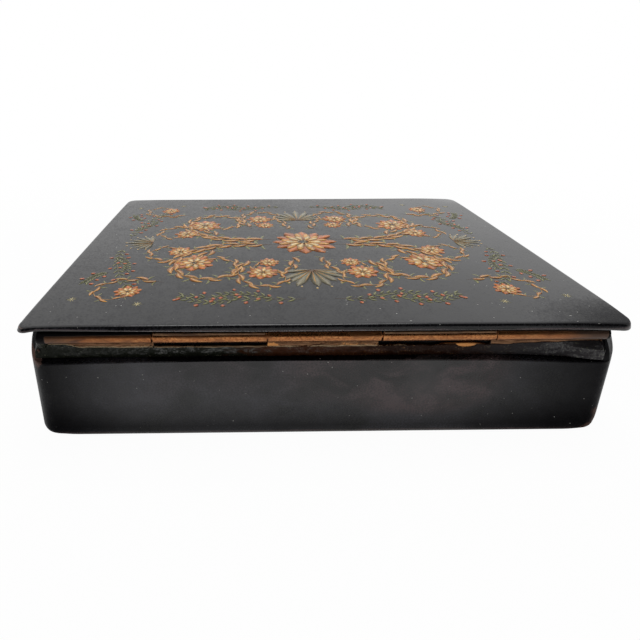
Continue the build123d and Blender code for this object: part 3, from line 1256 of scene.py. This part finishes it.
@dataclass
class Base:
    """Wound wall with round corners, a rounded foot, and a pocket for the hinge between two posts.

    A pair of values is for the +X end and the -X end, or a run from one place to another. A ledge step is a
    share of the pocket and a rise. A patch of wear is a strength and the two places between which it comes or
    goes, and a painted highlight line, a band of painted shade or a smudge is a strength, a middle and a
    reach.
    """

    corner_radius: float = 8.0
    thickness: float = 6.5
    foot_round: float = 2.6
    foot_wear: float = 0.4
    foot_rub: float = 0.8
    rub_height: float = 6.0
    corner_foot: Span = (1.8, 1.9)
    corner_near: Span = (2.0, 14.0)
    foot_lift: Triple = (0.18, -40.0, 60.0)
    foot_rings: int = 9
    wall_rings: int = 16
    pocket_rings: int = 14
    edge_rings: int = 5
    inside_rings: int = 8
    top_round: float = 0.4
    outer_wear: float = 0.5
    inner_wear: float = 0.45
    post_heading: float = math.radians(50.0)
    post_height: float = 11.0
    post_lean: Span = (4.7, 5.2)
    post_bend: float = 1.5
    post_soft: float = 0.6
    pocket_lumps: float = 0.10
    lump_length: float = 2.6
    ledge_below_leaf: float = 0.25
    ledge_clear: float = 0.5
    ledge_wear: float = 0.45
    hump: float = 0.3
    hump_at: float = 25.0
    hump_falls: tuple[Span, Span] = ((0.8, 62.0), (0.5, 80.0))
    ledge_dip: Triple = (1.0, 50.0, 95.0)
    sag_reach: float = 3.0
    sag_ends: Span = (1.0, 5.0)
    ledge_steps: tuple[Span, ...] = (
        (0.0, -0.25), (0.03, -0.08), (0.10, 0.0), (0.5, 0.03), (0.96, 0.06), (1.0, 0.2)
    )
    bay_soft: float = 0.3
    bay_drop: float = 1.15
    bay_fall: float = 3.0
    bay_depth: float = 4.0
    end_fill: Span = (0.95, 2.6)
    floor_height: float = 4.0
    seat: float = 2.4
    kept_from: Span = (-1.0, 0.0)
    kept_to: Span = (42.0, 69.0)
    foot_painted_shade: Span = (3.0, 18.0)
    foot_haze: float = 0.35
    foot_shade_gloss: float = 0.52
    corner_gloss: float = 0.11
    low_corner_shade: float = 0.85
    low_shade_band: Triple = (0.34, 4.2, 2.2)
    corner_glint: Triple = (0.06, 2.0, 7.0)
    palm: Triple = (1.2, -35.0, 22.0)
    foot_highlight_line: Triple = (2.5, 1.8, 0.55)
    heel_rub: Triple = (0.92, 3.0, 15.0)
    heel_height: Span = (8.0, 17.0)
    post_rub: Triple = (1.3, 92.5, 95.0)
    post_rub_depth: Span = (60.0, 69.0)
    post_rub_reach: float = 4.5
    pocket_from: Span = (56.0, 69.0)
    pocket_dull: Span = (1.4, 0.92)
    high: Array = corner_field("base_walls", 1)
    leaf_low: Array = corner_field("base_leaf", 0)
    leaf_high: Array = corner_field("base_leaf", 1)

    @property
    def ledge(self) -> float:
        """Even height of the ledge."""
        return self.leaf_low[2] - self.ledge_below_leaf

    @property
    def top(self) -> float:
        """Height of the top edge, a hair below the lid."""
        return self.high[2] - 0.04

    def in_bay(self, x: Array) -> Array:
        """1 along the leaf and 0 beyond its ends, with short steps."""
        return between(x, self.leaf_low[0], self.leaf_high[0], self.bay_soft)

    def from_corner(self, x: Array, y: Array) -> Array:
        """Distance from the nearest upright corner, along the farther of its two sides."""
        return np.maximum(self.high[0] - np.abs(x), self.high[1] - np.abs(y))

    def ledge_sag(self, x: Array) -> Array:
        """How far the hand-cut ledge lies off its even height: a low hump, with a dip towards the -X end."""
        falls = (depth * ((x - self.hump_at) / reach) ** 2 for depth, reach in self.hump_falls)
        return self.hump - np.where(x > self.hump_at, *falls) - climb(-x, *self.ledge_dip)

    def post_limit(self, height: Number, lean: Number) -> Array:
        """How far a post reaches from the centre of its corner at a height, where it leans in."""
        rise = soft_excess(height - self.high[2] + self.post_height, self.post_bend)
        return self.corner_radius - rise * lean / self.post_height

    def outline(self, inset: float) -> Array:
        """The wall's outline drawn in by an inset."""
        return rounded_outline(*(self.high[:2] - inset), self.corner_radius - inset)

    def outside(self, height: float, inset: float, pocket: float) -> Array:
        """Outer outline at a height: round corners, back posts that lean in, and the hinge pocket.

        Each post is held behind a plane that leans in with height, by taking away the soft excess beyond it.

        Args:
            height: height of the outline.
            inset: how far the outline is drawn in.
            pocket: share of the pocket's depth, 0 below the ledge and 1 above it.

        Returns:
            An array of (x, y) rows.
        """
        ring = self.outline(inset)
        for side, lean in zip((1, -1), self.post_lean):
            outward = np.array([side * math.sin(self.post_heading), math.cos(self.post_heading)])
            centre = (self.high[:2] - self.corner_radius) * (side, 1)
            over = (ring - centre) @ outward - self.post_limit(height, lean) + inset
            ring = ring - soft_excess(over, self.post_soft)[:, None] * outward
        x, y = ring.T
        face = self.leaf_low[1] + (1 - self.in_bay(x)) * np.where(x > 0, *self.end_fill)
        lumps = self.pocket_lumps * (1 - ripple(x, height, self.lump_length, 51))
        return np.column_stack([x, y - np.maximum(y - face + lumps, 0.0) * pocket])

    def back_limit(self, x: Array, z: Array) -> Array:
        """How far back the leaning posts reach beyond the leaf's ends.

        Args:
            x: width positions.
            z: heights.

        Returns:
            Depths.
        """
        over = np.abs(x) - self.high[0] + self.corner_radius
        limit = self.post_limit(z, np.where(x > 0, *self.post_lean))
        plane = (limit - over * math.sin(self.post_heading)) / math.cos(self.post_heading)
        arc = np.sqrt(np.maximum(self.corner_radius**2 - np.maximum(over, 0.0) ** 2, 0.0))
        return self.high[1] - self.corner_radius + np.minimum(plane, arc)

    def rows(self) -> list[Ring]:
        """The wall's even rings: up the outside, over the top edge, down the inside and back under the foot.

        The foot and the top edges are quarter circles, and at the ledge the rings slide into the pocket.

        Returns:
            The rings in order.
        """
        foot, lip, top, ledge = self.foot_round, self.top_round, self.top, self.ledge
        rims = [
            (top - lip * (1 - math.sin(a)), lip * (1 - math.cos(a))) for a in quarter_turn(self.edge_rings)
        ]
        below = np.linspace(foot, ledge - self.ledge_clear, self.wall_rings)[1:]
        beside = np.linspace(ledge + self.ledge_clear, top - lip, self.pocket_rings)[:-1]
        section = [
            (foot * (1 - math.cos(a)), foot * (1 - math.sin(a)), 0.0, self.foot_wear)
            for a in quarter_turn(self.foot_rings)
        ]
        section += [(height, 0.0, 0.0, 0.0) for height in below]
        section += [
            (ledge + rise, 0.0, share, self.ledge_wear * (share < 0.4)) for share, rise in self.ledge_steps
        ]
        section += [(height, 0.0, 1.0, 0.0) for height in beside]
        section += [(height, inset, 1.0, self.outer_wear) for height, inset in rims]
        rows = [Ring(self.outside(*place), place[0], edge) for *place, edge in section]
        for height, inset in rims[::-1]:
            rows.append(Ring(self.outline(self.thickness - inset), height, self.inner_wear))
        inner, seat = self.outline(self.thickness), self.outline(self.thickness - self.seat)
        inside = np.linspace(top - lip - 0.25, self.floor_height, self.inside_rings)
        rows += [Ring(inner, height, inside=1.0) for height in inside]
        return rows + [Ring(seat, self.floor_height, inside=1.0), Ring(seat, 0.0)]

    def walls(self) -> Surface:
        """The wall by its rings, worn by hand: lifted and rubbed corners of the foot, and a sagging ledge.

        Near the ledge the rings follow its sag, which fades as a bell curve.

        Returns:
            A closed ring surface with its wear.
        """
        rows = self.rows()
        rings = np.array([row.points() for row in rows])
        at_foot = np.array([row.edge == self.foot_wear for row in rows])[:, None]
        # These are views of the rings, so a change of one is a change of the shape.
        x, y, z = np.moveaxis(rings, -1, 0)
        near = fade(self.from_corner(x, y), *self.corner_near)
        lifted = np.where(x > 0, *self.corner_foot) * near + patch(x, *self.foot_lift) * (y > 0)
        z += lifted * at_foot * (1 - z / self.foot_round) ** 2
        low_down = np.clip(1 - z / self.rub_height, 0.0, 1.0)
        rubbed = self.foot_rub * near**2 * (x < 0) * (y > 0) * low_down**2
        x += rubbed
        y -= rubbed
        bay = self.in_bay(x) * (y > self.leaf_low[1] - self.bay_depth)
        sag = self.ledge_sag(x) * bell(z, self.ledge, self.sag_reach) * (y > self.leaf_low[1] - 1)
        inward = soft_step(self.high[0] - np.abs(x), *self.sag_ends)
        z += inward * sag - bay * climb(z, self.bay_drop, self.top - self.bay_fall, self.top - self.top_round)
        return self.wear(Surface.lacquered(rows, rings, closed=True), rings, at_foot)

    def wear(self, wall: Surface, rings: Array, at_foot: Array) -> Surface:
        """Keep the wall's wear.

        Gloss and haze are kept in the middle of each side and lost towards its corners; towards the foot, and
        in a low band above it, their loss is painted shade. The pocket is dull, a palm left a smudge, the
        foot has a pale painted highlight line, and its -X corner and the +X post are rubbed.

        Args:
            wall: the bare surface.
            rings: its points.
            at_foot: which rings belong to the rounded foot.

        Returns:
            The same surface.
        """
        x, y, z = np.moveaxis(rings, -1, 0)
        corner = self.from_corner(x, y)
        kept = soft_step(corner, np.where(x >= 0, *self.kept_from), np.where(x >= 0, *self.kept_to))
        # Below these heights the wall loses haze and gloss: painted shade of the table's shadow mirrored near
        # the foot.
        high_up = soft_step(z, *self.foot_painted_shade)
        pocket = (z >= self.ledge + 0.1) * soft_step(y, *self.pocket_from)
        palm = spot(x, *self.palm) * (y > 0)
        # A pale painted highlight line along the foot's rounding.
        foot_highlight_line = spot(z, *self.foot_highlight_line) * at_foot * (y > 0)
        haze = (kept + palm) * above(self.foot_haze, high_up) * (1 - pocket) + foot_highlight_line
        gloss = above(self.corner_gloss, kept) * above(self.foot_shade_gloss, high_up)
        gloss = gloss * (1 - self.low_corner_shade * (1 - kept) * (1 - high_up))
        gloss = gloss * (1 - spot(z, *self.low_shade_band)) + patch(corner, *self.corner_glint)
        heel = patch(corner, *self.heel_rub) * (x < 0) * (y > 0) * fade(z, *self.heel_height)
        post = climb(x, *self.post_rub) * soft_step(y, *self.post_rub_depth)
        post = post * bell(z, self.ledge + self.ledge_clear, self.post_rub_reach)
        wall.values["edge"] += (heel + post).ravel()
        dull = (1 - gloss) * (1 - pocket) + np.where(x > 0, *self.pocket_dull) * pocket
        return wall.keep(haze=haze, dull=dull)

    def build(self, lacquer: Material, plate: Material) -> None:
        """Put the wall into the scene and dress the bottom plate."""
        self.walls().piece("walls_lacquered", lacquer, "base", "black_lacquer", "base_walls")
        dress("bottom_plate", plate)


@dataclass
class Hinge:
    """Five rolled knuckles on one pin, the lacquered base leaf and the edge of the lid leaf.

    A place is a knuckle, counted from the -X end, and how far it sits along X from its even place. A stain, a
    fall and a pool have a strength and the two places between which they come or go. A chip in the leaf's
    lacquer, a cluster of chips and a painted highlight have a strength, a middle and a reach. A lump in the
    lacquer has a depth, a share of the height, a wavelength and a seed. A rise of its edge has a direction
    along X, a height, a start and an end.
    """

    base: Base
    pitch: float = 37.0
    gap: float = 0.4
    sheet: float = 0.8
    soft_end: float = 0.25
    mouth: float = 1.5
    tube_steps: int = 40
    turn_steps: int = 56
    dent: float = 0.022
    dent_length: float = 11.0
    end_stain: Triple = (0.74, 6.0, 48.0)
    west_stain: Triple = (0.90, 2.0, 20.0)
    east_stain: Triple = (0.55, 6.0, 18.0)
    west_cover: Span = (0.3, 0.7)
    east_cover: Span = (2.6, 3.0)
    shoulder: float = 5.0
    swing: float = 0.35
    count: int = 5
    base_places: tuple[tuple[int, float], ...] = ((0, 0.05), (2, 0.0), (4, -0.05))
    lid_places: tuple[tuple[int, float], ...] = ((1, -0.12), (3, -0.15))
    past_west: float = 0.3
    past_east: float = 2.4
    skin_depth: float = 0.12
    lumps: tuple[tuple[float, ...], ...] = ((0.05, 1.0, 6, 33), (0.05, 0.7, 2.6, 34), (0.03, 0.6, 1.4, 35))
    skin_edge: Span = (-0.25, 0.05)
    rises: tuple[tuple[float, ...], ...] = ((1, 0.3, 30, 80), (-1, 1.1, 52, 90), (1, 1.3, 80, 86.5))
    tab_below: float = 1.2
    foot_fall: Triple = (1.1, 55.0, 90.0)
    pool: Triple = (2.3, 77.0, 91.0)
    pool_height: Span = (33.0, 35.8)
    worn_edge: float = 0.16
    line_below: float = 0.12
    line_width: float = 0.25
    line_least: float = 0.25
    line_from: Span = (-38.0, -12.0)
    chips: tuple[Triple, ...] = ((0.8, 18, 2.4), (0.3, -7, 6), (0.3, -24, 6), (0.15, 62, 5))
    cluster: Triple = (0.40, -14.0, 3.0)
    cluster_below: float = 1.6
    painted_highlight: Triple = (0.9, -61.0, 10.0)
    painted_highlight_height: float = 36.4
    painted_highlight_width: float = 0.8
    moon_at: float = -45.5
    moon_reach: float = 7.0
    moon_rise: float = 0.6
    moon_depth: float = 0.3
    moon_shine: float = 1.25
    bite_at: float = -46.7
    bite_reach: float = 3.4
    bite_depth: float = 1.3
    bite_edge: Span = (-0.08, 0.12)
    daub_inset: Triple = (1.2, 0.7, 1.2)
    daub_size: Triple = (2.0, 2.5, 3.2)
    strip_short: float = 0.28
    strip_droop: float = 0.38
    strip_soft: float = 0.18
    leaf_steps: int = 620
    strip_steps: int = 420
    low: Array = corner_field("base_leaf", 0)
    high: Array = corner_field("base_leaf", 1)

    @property
    def radius(self) -> float:
        """Outer radius of the barrel."""
        return (self.high[1] - self.low[1]) / 2

    @property
    def axis(self) -> Span:
        """Depth and height of the barrel's axis."""
        return self.high[1] - self.radius, self.high[2] - self.radius

    def span(self, index: int) -> Span:
        """Ends of a knuckle along X, counted from the -X end."""
        start = self.low[0] + index * self.pitch
        return start + self.gap / 2, start + self.pitch - self.gap / 2

    def stretches(self, x: Array, first: int) -> Array:
        """1 along every second knuckle from the first one on, 0 along the others, with short soft steps."""
        return sum(between(x, *self.span(index), 0.2) for index in range(first, self.count, 2))

    def knuckle(self, index: int, shift: float) -> Surface:
        """A rolled tube: a section of outside, rounded ends and bore, carried round the axis.

        The radius has a dent of a few hundredths of a millimetre along and round the tube. Towards the
        barrel's ends the brass is stained, and lacquer covers both end faces and the tops of the end tubes.

        Args:
            index: knuckle, counted from the -X end.
            shift: how far it sits along X from its even place.

        Returns:
            A closed ring surface.
        """
        start, end = (value + shift for value in self.span(index))
        soft, bore, turn, mouth = self.soft_end, self.radius - self.sheet, quarter_turn(4), self.mouth
        slow, fast = soft * (1 - np.cos(turn)), soft * (1 - np.sin(turn))
        middle = np.linspace(start + soft, end - soft, self.tube_steps)[1:-1]
        x = np.concatenate([start + slow, middle, end - fast, [end, end - mouth, start + mouth, start]])
        outside = np.concatenate([-fast, np.zeros_like(middle), -slow]) + self.radius
        radius = np.append(outside, np.full(4, bore))[:, None]
        angle = np.linspace(0.0, 2 * math.pi, self.turn_steps, endpoint=False)
        along, around = np.meshgrid(x, angle * 4, indexing="ij")
        dent = self.dent * np.minimum(ripple(along, around, self.dent_length, 20 + index) - 1, 0.0)
        reach = radius + np.where(radius > bore + 0.1, dent, 0.0)
        axis_y, axis_z = self.axis
        rings = np.stack([along, axis_y + reach * np.cos(angle), axis_z + reach * np.sin(angle)], axis=-1)
        surface = Surface.from_rings(rings, closed=True)
        x, _, z = surface.points.T
        east, west, upward = self.high[0] - x, x - self.low[0], (z - axis_z) / self.radius
        stained = patch(np.minimum(east, west), *self.end_stain)
        stained += patch(west, *self.west_stain) + patch(east, *self.east_stain)
        covered = fade(west, *self.west_cover) + fade(east, *self.east_cover)
        tops = {0: (0.60, 0.85), self.count - 1: (0.45, 0.70)}
        if index in tops:
            covered = covered + soft_step(upward, *tops[index])
        return surface.keep(aged=stained + 2.0 * covered)

    def base_leaf(self) -> Surface:
        """The leaf in its rebate: a rounded section carried along X, with tabs up to the base's knuckles.

        The outer face is pushed out by a brushed-on skin of lacquer, a tenth of a millimetre of unevenness,
        which pools at the -X end, ends at a pale worn line that is partly a painted highlight, and has a bite
        shaped like a half-moon. One more painted highlight lies on the tab near the -X end.

        Returns:
            A closed surface with its bare places and its line of wear and painted highlight.
        """
        axis_z = self.axis[1]
        x = np.linspace(self.low[0] - self.past_west, self.high[0] + self.past_east, self.leaf_steps)
        past = ((x < self.low[0]) | (x > self.high[0])).astype(float)
        brushed = axis_z - self.shoulder + 0.12 * ripple(x, 0.0, 9, 31)
        brushed += sum(climb(side * x, *rise) for side, *rise in self.rises)
        moon = np.exp(-(((x - self.moon_at) / self.moon_reach) ** 4))
        tabs = np.maximum(self.stretches(x, 0), past)
        crest = brushed + tabs * (axis_z - self.tab_below - brushed) + self.moon_rise * moon
        foot = self.low[2] + 0.10 * ripple(x, 0.0, 14, 32) - climb(-x, *self.foot_fall)
        share = np.linspace(0.0, 1.0, 52)[:, None]
        front_z = foot + (crest - foot) * share
        round_bite = np.maximum(1 - ((x - self.bite_at) / self.bite_reach) ** 2, 0.0)
        bite = self.moon_depth * moon + self.bite_depth * np.sqrt(round_bite)
        chipped = soft_step(bite - crest + front_z, *self.bite_edge) * (moon > 0.05)
        lacquered = np.maximum(fade(front_z - brushed, *self.skin_edge), past) * (1 - chipped)
        pooled = climb(-x, *self.pool) * fade(front_z, *self.pool_height)
        lumps = sum(depth * ripple(x, front_z * part, *wave) for depth, part, *wave in self.lumps)
        worn_edge = self.worn_edge * (1 - np.clip((1 - share) * 14, 0.0, 1.0))
        front_y = self.low[1] + self.sheet + (self.skin_depth + lumps + pooled) * lacquered - worn_edge
        limit = self.base.back_limit(x, front_z) + 0.06
        front_y = np.where(past > 0, np.minimum(front_y, limit), front_y)
        back_y = self.low[1] + 0.01 - 2 * past
        section_y, section_z = np.vstack([front_y, back_y, back_y]), np.vstack([front_z, crest, foot])
        rings = np.stack([np.broadcast_to(x, section_y.shape), section_y, section_z], axis=-1)
        surface = Surface.from_rings(rings.transpose(1, 0, 2), closed=False)
        chip = sum(spot(x, *chip) for chip in self.chips) * bell(section_z, brushed + 0.1, 1.0)
        below = brushed - self.cluster_below
        cluster = spot(x, *self.cluster) * bell(section_z, below, self.cluster_below)
        bare = np.vstack([1 - lacquered, 1 - past, np.zeros_like(x)])
        moonlit = self.moon_shine * np.vstack([chipped, chipped[-1], np.zeros_like(x)])
        # The pale line along the skin's edge is worn lacquer and partly a painted highlight.
        line = bell(section_z, brushed - self.line_below, self.line_width) * (1 - past)
        line = line * (above(self.line_least, soft_step(x, *self.line_from)) + 0.30 * ripple(x, 0.0, 12, 36))
        # A painted highlight spot on the tab near the -X end.
        painted_highlight = spot(x, *self.painted_highlight) * bell(section_z, self.painted_highlight_height, self.painted_highlight_width)
        line = np.maximum(line, painted_highlight)
        bare = np.maximum(bare * 0.8 + chip + cluster, moonlit)
        return surface.keep(bare=bare.T, line=line.T).joined(self.daub())

    def daub(self) -> Surface:
        """Thick lacquer over the +X end of the barrel: an egg shape drawn in by ripples.

        Returns:
            A closed surface.
        """
        along = np.linspace(0.12, math.pi - 0.12, 22)
        along, around = np.meshgrid(along, np.linspace(0.0, 2 * math.pi, 41)[:-1], indexing="ij")
        reach = np.sin(along) * (1 - 0.07 * (1 - ripple(along * 3, np.sin(around) * 4, 3, 61)))
        centre = np.array([self.high[0], *self.axis]) - self.daub_inset
        egg = np.stack([-np.cos(along), reach * np.cos(around), reach * np.sin(around)], axis=-1)
        return Surface.from_rings(centre + egg * self.daub_size, closed=False).keep(bare=0.0, line=0.0)

    def lid_leaf(self) -> Surface:
        """The strip under the lid: a thin section carried along X, with drooping tabs out to the lid's edge.

        Returns:
            A closed surface.
        """
        low, high = box_of("lid_leaf")
        x = np.linspace(self.low[0], self.high[0], self.strip_steps)
        reach = self.stretches(x, 1)
        inner, short = low[1], self.axis[0] - self.radius - self.swing
        outer = short + reach * (high[1] - self.strip_short - short + 0.10 * ripple(x, 0.0, 8, 41))
        wave = (0.06 * ripple(x, 0.0, 10, 42) - self.strip_droop) * reach
        under, over, soft = high[2] - self.sheet, high[2] - 0.01, self.strip_soft
        bevel = ((soft, 0.0), (soft * 0.3, soft * 0.3), (0.0, soft))
        section = [(inner, under), (short - soft, under)]
        section += [(outer - back, under + rise + wave) for back, rise in bevel]
        section += [(outer - back, over - rise + wave) for back, rise in bevel[::-1]]
        section += [(short - soft, over), (inner, over)]
        rings = np.stack([np.stack(np.broadcast_arrays(x, y, z), axis=-1) for y, z in section], axis=1)
        return Surface.from_rings(rings, closed=False).keep(aged=0.45)

    def build(self, brass: Material, dull: Material, strip: Material, leaf: Material) -> None:
        """Put the knuckles and leaves into the scene and dress the pin and the brads.

        Args:
            brass: finish of the knuckles.
            dull: finish of the pin and the brads.
            strip: finish of the lid leaf.
            leaf: finish of the base leaf.
        """
        base, lid = (
            reduce(Surface.joined, [self.knuckle(*place) for place in places])
            for places in (self.base_places, self.lid_places)
        )
        base.piece("base_knuckles", brass, "base", "hinge_brass", "base_leaf")
        lid.piece("lid_knuckles", brass, "lid", "hinge_brass", "lid_leaf")
        self.base_leaf().piece("base_leaf_lacquered", leaf, "base", "hinge_brass", "base_leaf")
        self.lid_leaf().piece("lid_leaf_strip", strip, "lid", "hinge_brass", "lid_leaf")
        for node in ("hinge_pin", "base_leaf_brads", "lid_leaf_brads"):
            dress(node, dull)


@dataclass
class Studio:
    """White table and backdrop, a soft lamp overhead, a dark room behind the camera, and the camera.

    The focal length and the principal point are in pixels of the image, and angles are in radians. The
    lamp and the table are in metres.
    """

    focal_pixels: float = 488.0
    image_size: float = 640.0
    principal: Span = (257.4, 242.9)
    place: Triple = (23.83, 213.80, 121.56)
    pitch: float = 0.3504
    yaw: float = 0.0103
    roll: float = 0.0032
    sensor: float = 36.0
    fill: float = 0.78
    room: float = 0.015
    room_edge: Span = (0.22, 0.48)
    dim: float = 0.16
    lamp_watts: float = 5.0
    lamp_size: float = 0.7
    lamp_place: Triple = (0.0, -0.15, 1.0)
    table_grey: float = 0.7
    table_half: float = 4.0
    table_far: Span = (0.15, 0.5)
    table_front: Span = (0.16, 0.55)
    seen_white: float = 0.97
    mirrored_white: float = 0.72
    front_painted_shade: float = 0.45

    def camera(self) -> None:
        """Stand the camera at the photograph's viewpoint, with the lens shifted as the framing needs."""
        data = bpy.data.cameras.new("viewpoint")
        data.sensor_fit, data.sensor_width = "HORIZONTAL", self.sensor
        data.lens = self.focal_pixels / self.image_size * self.sensor
        data.shift_x = 0.5 - self.principal[0] / self.image_size
        data.shift_y = self.principal[1] / self.image_size - 0.5
        data.clip_start, data.clip_end = 0.005, 50.0
        level, tilt = math.cos(self.pitch), math.sin(self.pitch)
        ahead = np.array([-math.sin(self.yaw) * level, -math.cos(self.yaw) * level, -tilt])
        right = np.array([-math.cos(self.yaw), math.sin(self.yaw), 0.0])
        above = np.cross(right, ahead)
        lean, upright = math.sin(self.roll), math.cos(self.roll)
        right, above = upright * right - lean * above, lean * right + upright * above
        turn = np.eye(4)
        turn[:3] = np.column_stack([right, above, -ahead, np.array(self.place) * MM])
        thing = in_scene("viewpoint", data)
        thing.matrix_world = Matrix(turn.tolist())
        bpy.context.scene.camera = thing

    def world(self) -> None:
        """White surroundings, except the room behind the camera, which glossy and diffuse rays see dark."""
        world = bpy.data.worlds.new("studio")
        world.use_nodes = True
        bpy.context.scene.world = world
        g = Graph(world.node_tree)
        seen, mirrored = g.rays()
        behind = g.axis(g.add("TexCoord", output="Generated"), "Y").step(*self.room_edge)
        level = mirrored * (1 - self.fill) + self.fill
        dark = mirrored * (self.room - self.dim) + self.dim
        strength = seen + (1 - seen) * (level * (1 - behind * (1 - dark)))
        g.close(g.add("Background", {"Color": WHITE, "Strength": strength}), "World")

    def lamp(self) -> None:
        """One large soft lamp overhead, a little beyond the box."""
        data = bpy.data.lights.new("soft_lamp", "AREA")
        data.shape, data.size, data.energy = "DISK", self.lamp_size, self.lamp_watts
        in_scene("soft_lamp", data).location = self.lamp_place

    def floor(self) -> None:
        """A white table top: matt, but mostly plain white to the camera, so a soft shadow stays. In
        reflections its white glow fades towards the front as painted shade.
        """
        material, g = blank_material("white_table")
        seen, mirrored = g.rays()
        away = g.add("VectorMath", {0: g.place()}, "Value", operation="LENGTH").step(*self.table_far)
        front = g.axis(g.place(), "Y").step(*self.table_front)
        matt = g.add("BsdfDiffuse", {"Color": (self.table_grey,) * 3 + (1.0,)})
        plain = g.add("Emission", {"Color": WHITE, "Strength": 1.0})
        direct = seen * (away * (1 - self.seen_white) + self.seen_white)
        # In reflections the glow fades towards the camera side: painted shade of the dark room.
        white = direct.most(mirrored * (self.mirrored_white - front * self.front_painted_shade))
        g.close(g.blend(white, matt, plain))
        mesh, half = bpy.data.meshes.new("table"), self.table_half
        corners = [(-half, -half, 0), (half, -half, 0), (half, half, 0), (-half, half, 0)]
        mesh.from_pydata(corners, [], [(0, 1, 2, 3)])
        mesh.materials.append(material)
        thing = in_scene("table", mesh)

    def build(self) -> None:
        """Set up the table, the light and the camera."""
        for part in (self.floor, self.world, self.lamp, self.camera):
            part()
        bpy.context.scene.view_settings.view_transform = "Standard"


def main() -> None:
    logging.basicConfig(level=logging.INFO, format="%(name)s %(message)s")
    lacquer, brass = Lacquer(), WornBrass()
    dull = replace(brass, name="dull_brass", patina_share=0.9)
    stained = {"body": (0.15, 0.080, 0.042), "bright": (0.30, 0.19, 0.10), "patina": (0.05, 0.022, 0.012)}
    strip = replace(brass, name="stained_brass", **stained)
    skin, lid, base = lacquer.material(), Lid(), Base()
    lid.build(skin)
    Ornament(lid).build(TemperaPaint().material())
    base.build(skin, lacquer.material(split_height=2.0))
    Hinge(base).build(brass.material(), dull.material(), strip.material(), BrushedOverLeaf().material())
    Studio().build()


if __name__ == "__main__":
    main()
